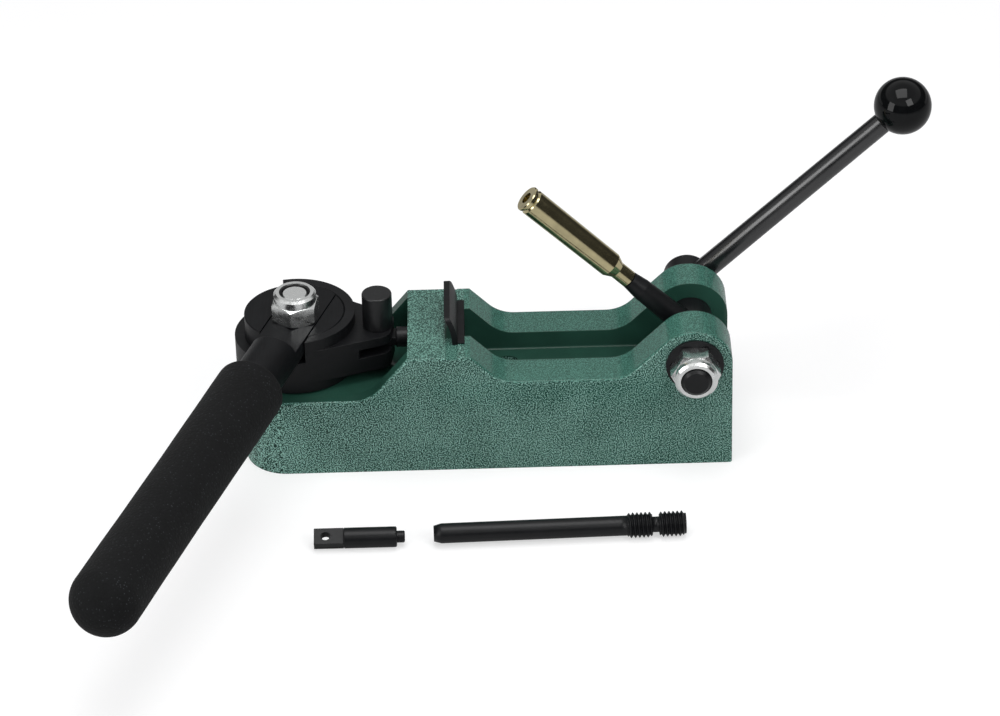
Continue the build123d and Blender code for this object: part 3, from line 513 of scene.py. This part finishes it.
# ---------------------------------------------------------------- operators
class StageStudio(bpy.types.Operator):
    """Sets the camera, a pale floor, a white surround and three large soft lamps"""

    bl_idname = "press.stage_studio"
    bl_label = "Stage the studio"

    def execute(self, context):
        studio = context.scene.press_studio
        aim = middle("base_casting") + Vector(studio.camera_aim)
        pitch, roll = studio.camera_pitch, studio.camera_roll
        forward = Vector((0, math.cos(pitch), -math.sin(pitch)))
        level_up = Vector((0, math.sin(pitch), math.cos(pitch)))
        level_right = Vector((1, 0, 0))
        right = level_right * math.cos(roll) - level_up * math.sin(roll)
        up = level_right * math.sin(roll) + level_up * math.cos(roll)
        data = bpy.data.cameras.new("studio_camera")
        data.sensor_fit = "HORIZONTAL"
        data.sensor_width = 36
        data.lens = studio.lens
        data.clip_end = 50
        camera = bpy.data.objects.new("studio_camera", data)
        context.collection.objects.link(camera)
        turn = Matrix((right, up, -forward)).transposed().to_4x4()
        camera.matrix_world = Matrix.Translation(aim - forward * studio.camera_distance) @ turn
        context.scene.camera = camera

        self.lay_floor()
        self.light_world(context)
        # Overhead, low on the left and higher on the right: direction from the press, sides, power.
        for name, direction, sides, power in (
            ("lamp_over", (0.0, -0.12, 1.0), (1.0, 1.0), 11.0),
            ("lamp_left", (-0.76, -0.57, 0.34), (0.7, 0.9), 7.5),
            ("lamp_right", (0.46, -0.61, 0.65), (0.6, 0.6), 5.5),
        ):
            self.hang_lamp(context, name, Vector(direction).normalized(), sides, power * studio.light)
        context.scene.view_settings.view_transform = "Standard"
        return {"FINISHED"}

    def lay_floor(self):
        """A pale floor under the press."""
        floor_radius, hair = 6, 0.02 * MM
        work = bmesh.new()
        bmesh.ops.create_circle(work, cap_ends=True, segments=96, radius=floor_radius)
        floor = new_piece("floor", work, self.painted_floor())
        floor.location.z = cad_box[0][2] - hair

    def painted_floor(self):
        """Matt grey board that the camera sees lit up to white, as a light table."""
        material, tree, shader, _ = new_material("light_table")
        shader.inputs["Base Color"].default_value = (0.5, 0.5, 0.5, 1)
        shader.inputs["Roughness"].default_value = 0.9
        shader.inputs["Specular IOR Level"].default_value = 0.1
        path = node(tree, "ShaderNodeLightPath")
        seen = node(tree, "ShaderNodeMath", {"operation": "MULTIPLY"}, _0=path.outputs["Is Camera Ray"], _1=0.56)
        lift = node(
            tree, "ShaderNodeMath", {"operation": "MULTIPLY_ADD"}, _0=path.outputs["Is Glossy Ray"], _1=0.08,
            _2=seen.outputs[0],
        )
        tree.links.new(lift.outputs[0], shader.inputs["Emission Strength"])
        shader.inputs["Emission Color"].default_value = (1, 1, 1, 1)
        return material

    def light_world(self, context):
        """A white surround that metal sees as a dark room with a table, a backdrop and a ceiling in it."""
        world = bpy.data.worlds.new("studio_surround")
        context.scene.world = world
        world.use_nodes = True
        tree = world.node_tree
        tree.nodes.clear()
        direction = node(tree, "ShaderNodeTexCoord").outputs["Generated"]
        parts = node(tree, "ShaderNodeSeparateXYZ", Vector=direction)
        dark, pale, ceiling = (0.04, 0.04, 0.04, 1), (0.62, 0.62, 0.62, 1), (0.50, 0.50, 0.50, 1)
        # Behind the press: table, dark room, backdrop, ceiling. In front there is no table.
        behind, above_table = 0.1, 0.2
        front = node(tree, "ShaderNodeMath", {"operation": "LESS_THAN"}, _0=parts.outputs["Y"], _1=behind)
        start = node(tree, "ShaderNodeMath", {"operation": "MULTIPLY"}, _0=front.outputs[0], _1=above_table)
        height = node(tree, "ShaderNodeMath", {"operation": "MAXIMUM"}, _0=parts.outputs["Z"], _1=start.outputs[0])
        backdrop = colour_ramp(
            tree, height.outputs[0],
            [(0.06, ceiling), (0.14, dark), (0.42, dark), (0.50, pale), (0.68, pale), (0.84, ceiling)],
        )
        path = node(tree, "ShaderNodeLightPath")
        mirrored = node(
            tree, "ShaderNodeMath", {"operation": "MAXIMUM"},
            _0=path.outputs["Is Glossy Ray"], _1=path.outputs["Is Transmission Ray"],
        )
        ambient = (0.38, 0.38, 0.39, 1)
        lit = node(
            tree, "ShaderNodeMix", {"data_type": "RGBA"}, _0=mirrored.outputs[0], _6=ambient, _7=backdrop
        )
        seen = node(
            tree, "ShaderNodeMix", {"data_type": "RGBA"}, _0=path.outputs["Is Camera Ray"], _6=lit.outputs[2],
            _7=(1, 1, 1, 1),
        )
        surround = node(tree, "ShaderNodeBackground", Color=seen.outputs[2], Strength=1.0)
        node(tree, "ShaderNodeOutputWorld", Surface=surround.outputs[0])

    def hang_lamp(self, context, name, direction, sides, power):
        """A rectangular soft lamp that faces the press."""
        distance = 1.5
        data = bpy.data.lights.new(name, "AREA")
        data.shape = "RECTANGLE"
        data.size, data.size_y = sides
        data.energy = power
        lamp = bpy.data.objects.new(name, data)
        level = Vector((0, 0, 1)).cross(direction).normalized()
        facing = Matrix((level, direction.cross(level), direction)).transposed().to_4x4()
        lamp.matrix_world = Matrix.Translation(middle("base_casting") + direction * distance) @ facing
        context.collection.objects.link(lamp)


class PaintCasting(bpy.types.Operator):
    """Sprays the base casting with hammertone enamel"""

    bl_idname = "press.paint_casting"
    bl_label = "Paint the casting"

    def execute(self, context):
        finish_nodes(hammertone_enamel(context.scene.press_finishes), "base_casting")
        return {"FINISHED"}


class BlackenSteel(bpy.types.Operator):
    """Gives every machined steel piece its black oxide, with the tool marks of its own making"""

    bl_idname = "press.blacken_steel"
    bl_label = "Blacken the steel"

    def execute(self, context):
        finishes, edge_break = context.scene.press_finishes, context.scene.press_sizes.edge_break
        for name, lay, pitch, roughest, oil, pieces in (
            ("milled", (1, 0, 0), 0.5 * MM, 0.50, 0.26, ("guide_plate", "guide_plate_screws", "cam_thrust_washer")),
            ("strap", (1, 0, 0), 0.6 * MM, 0.52, 0.26, ("cam_strap",)),
            ("faced", (0, 1, 0), 0.5 * MM, 0.50, 0.20, ("eccentric_cam", "handle_bar")),
            ("pin", (0, 0, 1), 0.9 * MM, 0.42, 0.50, ("fork_pin",)),
            ("turned", (0, 1, 0), 0.4 * MM, 0.44, 0.28, ("press_ram", "spare_ram", "case_support")),
            ("shaft", (0, 1, 0), 0.5 * MM, 0.44, 0.30, ("clevis_shaft", "clevis_washer")),
            ("drawn", (1, 0, 1), 0.6 * MM, 0.32, 1.00, ("lever_rod",)),
        ):
            steel = black_oxide_steel(finishes, f"black_oxide_{name}", lay, pitch, roughest, oil, edge_break)
            finish_nodes(steel, *pieces)
        return {"FINISHED"}


class ThreadSpareSupport(bpy.types.Operator):
    """Cuts the two helical threads of the spare case support"""

    bl_idname = "press.thread_spare_support"
    bl_label = "Thread the spare support"

    def execute(self, context):
        finishes, sizes = context.scene.press_finishes, context.scene.press_sizes
        tip, tail = lying_axis("spare_case_support")
        along, length = (tail - tip).normalized(), (tail - tip).length
        low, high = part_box("spare_case_support")
        crest = (high[2] - low[2]) / 2
        shank, nose, groove = sizes.shank_diameter / 2, sizes.tip_diameter / 2, sizes.groove_diameter / 2
        pitch, depth = sizes.thread_pitch, sizes.thread_depth
        threaded = pitch * sizes.thread_turns
        second = length - sizes.thread_run_out - threaded
        first = second - sizes.groove_width - threaded
        flat, chamfer_slope = 0.15, 1.2

        def cut(place, angle, start):
            """The radius of a V thread, flat at crest and root, that fades into chamfers at both its ends."""
            turn = (place - start) / pitch - angle / math.tau
            slope = abs(2 * (turn - math.floor(turn)) - 1)
            flank = min(1.0, max(0.0, (1 + 2 * flat) * slope - flat))
            from_end = min(place - start, start + threaded - place)
            return min(crest - depth * flank, crest - depth + chamfer_slope * from_end)

        def radius_at(place, angle):
            """The spare support's outline: tapered tip, plain shank, thread, groove, thread, run-out."""
            if place < sizes.tip_length:
                return nose + (shank - nose) * place / sizes.tip_length
            if place < first:
                return shank
            if place <= first + threaded:
                return cut(place, angle, first)
            if place < second:
                return groove
            return cut(place, angle, second) if place <= second + threaded else crest - depth

        ring_spacing, hair, shank_rings, sides = 0.11 * MM, 0.005 * MM, 24, 96
        steps = round(threaded / ring_spacing)
        rings = [0, sizes.tip_length - hair, sizes.tip_length + hair]
        rings += [sizes.tip_length + (first - sizes.tip_length) * i / shank_rings for i in range(1, shank_rings)]
        for start in (first, second):
            rings += [start - hair]
            rings += [start + threaded * i / steps for i in range(steps + 1)]
            rings += [start + threaded + hair]
        rings += [length]
        steel = black_oxide_steel(
            finishes, "black_oxide_threaded", lay=(0, 1, 0), pitch=0.4 * MM, roughest=0.44, oil=0.30,
            edge_break=sizes.edge_break,
        )
        work = turned(rings, tip, along, Vector((0, 0, 1)), sides, radius_at)
        support = new_piece("threaded_spare_support", work, steel)
        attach(support, "loose_support")
        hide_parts("spare_case_support")
        return {"FINISHED"}


class PlateNuts(bpy.types.Operator):
    """Plates the lock nuts and the stud with zinc, and fits the nylon rings"""

    bl_idname = "press.plate_nuts"
    bl_label = "Plate the nuts"

    def execute(self, context):
        finishes = context.scene.press_finishes
        finish_nodes(zinc_plate(finishes), "cam_lock_nut", "clevis_lock_nut", "cam_stud")
        finish_nodes(moulded_nylon(finishes), "cam_nut_ring", "clevis_nut_ring")
        return {"FINISHED"}


class PullOnGrip(bpy.types.Operator):
    """Models the foam grip that is pulled over the handle bar"""

    bl_idname = "press.pull_on_grip"
    bl_label = "Pull on the grip"

    def execute(self, context):
        sizes = context.scene.press_sizes
        stud = pivot_of("handle_swing")
        centre = middle("handle_grip")
        origin = Vector((stud.x, stud.y, centre.z))
        vertices = nodes["handle_grip"].data.vertices
        mean = sum((vertex.co for vertex in vertices), Vector()) / len(vertices)
        along = (Vector((mean.x, mean.y, centre.z)) - origin).normalized()
        start, end, radius = axis_extent("handle_grip", origin, along)
        length = end - start
        mouth, hair = 2.2 * MM, 0.002 * MM
        mouth_rings, body_rings, end_rings, sides = 8, 240, 48, 160
        # The foam is cut by hand and is never quite round or straight.
        ripple_depth, ripple_turn, ripple_length = 0.06 * MM, 11 * MM, 17 * MM

        def radius_at(place, angle):
            """The grip's outline: a rounded mouth, a slight waist and a round end."""
            from_mouth, from_end = place - start, end - place
            waist = sizes.grip_waist * math.sin(math.pi * min(1.0, from_mouth / length)) ** 2
            outline = radius - waist
            if from_mouth < mouth:
                outline -= mouth - math.sqrt(max(0.0, mouth**2 - (mouth - from_mouth) ** 2))
            if from_end < radius:
                outline = math.sqrt(max(1e-12, radius**2 - (radius - from_end) ** 2))
            ripple = math.sin(3 * angle + place / ripple_turn) * math.sin(place / ripple_length)
            return outline - ripple_depth * (1 + ripple) * min(1.0, outline / radius)

        rings = [start + mouth * (1 - math.cos(math.pi / 2 * i / mouth_rings)) for i in range(mouth_rings)]
        rings += [start + mouth + (end - radius - start - mouth) * i / body_rings for i in range(body_rings)]
        rings += [end - radius + radius * math.sin(math.pi / 2 * i / end_rings) for i in range(end_rings)]
        rings.append(end - hair)
        work = turned(rings, origin, along, Vector((0, 0, 1)), sides, radius_at)
        grip = new_piece("foam_grip", work, closed_cell_foam(context.scene.press_finishes))
        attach(grip, "handle")
        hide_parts("handle_grip")
        return {"FINISHED"}


class FitKnob(bpy.types.Operator):
    """Polishes the phenolic knob of the case lever"""

    bl_idname = "press.fit_knob"
    bl_label = "Fit the knob"

    def execute(self, context):
        finish_nodes(polished_phenolic(context.scene.press_finishes), "lever_ball")
        return {"FINISHED"}


class SeatCase(bpy.types.Operator):
    """Finishes the brass case on its support"""

    bl_idname = "press.seat_case"
    bl_label = "Seat the case"

    def execute(self, context):
        finish_nodes(cartridge_brass(context.scene.press_finishes), "sample_case")
        return {"FINISHED"}


class PressPanel(bpy.types.Panel):
    """Lists the steps and sizes of the press"""

    bl_label = "Bench lever press"
    bl_idname = "VIEW3D_PT_bench_lever_press"
    bl_space_type = "VIEW_3D"
    bl_region_type = "UI"
    bl_category = "Press"

    def draw(self, context):
        layout = self.layout
        for step in STEPS:
            layout.operator(step.bl_idname)
        for group in (context.scene.press_finishes, context.scene.press_sizes, context.scene.press_studio):
            box = layout.box()
            for name in group.__annotations__:
                box.prop(group, name)


STEPS = (StageStudio, PaintCasting, BlackenSteel, ThreadSpareSupport, PlateNuts, PullOnGrip, FitKnob, SeatCase)
CLASSES = (PressFinishes, PressSizes, PressStudio, *STEPS, PressPanel)


def register():
    for kind in CLASSES:
        bpy.utils.register_class(kind)
    bpy.types.Scene.press_finishes = PointerProperty(type=PressFinishes)
    bpy.types.Scene.press_sizes = PointerProperty(type=PressSizes)
    bpy.types.Scene.press_studio = PointerProperty(type=PressStudio)


def unregister():
    del bpy.types.Scene.press_studio
    del bpy.types.Scene.press_sizes
    del bpy.types.Scene.press_finishes
    for kind in reversed(CLASSES):
        bpy.utils.unregister_class(kind)


def main():
    register()
    for step in STEPS:
        family, name = step.bl_idname.split(".")
        getattr(getattr(bpy.ops, family), name)()


if __name__ == "__main__":
    main()
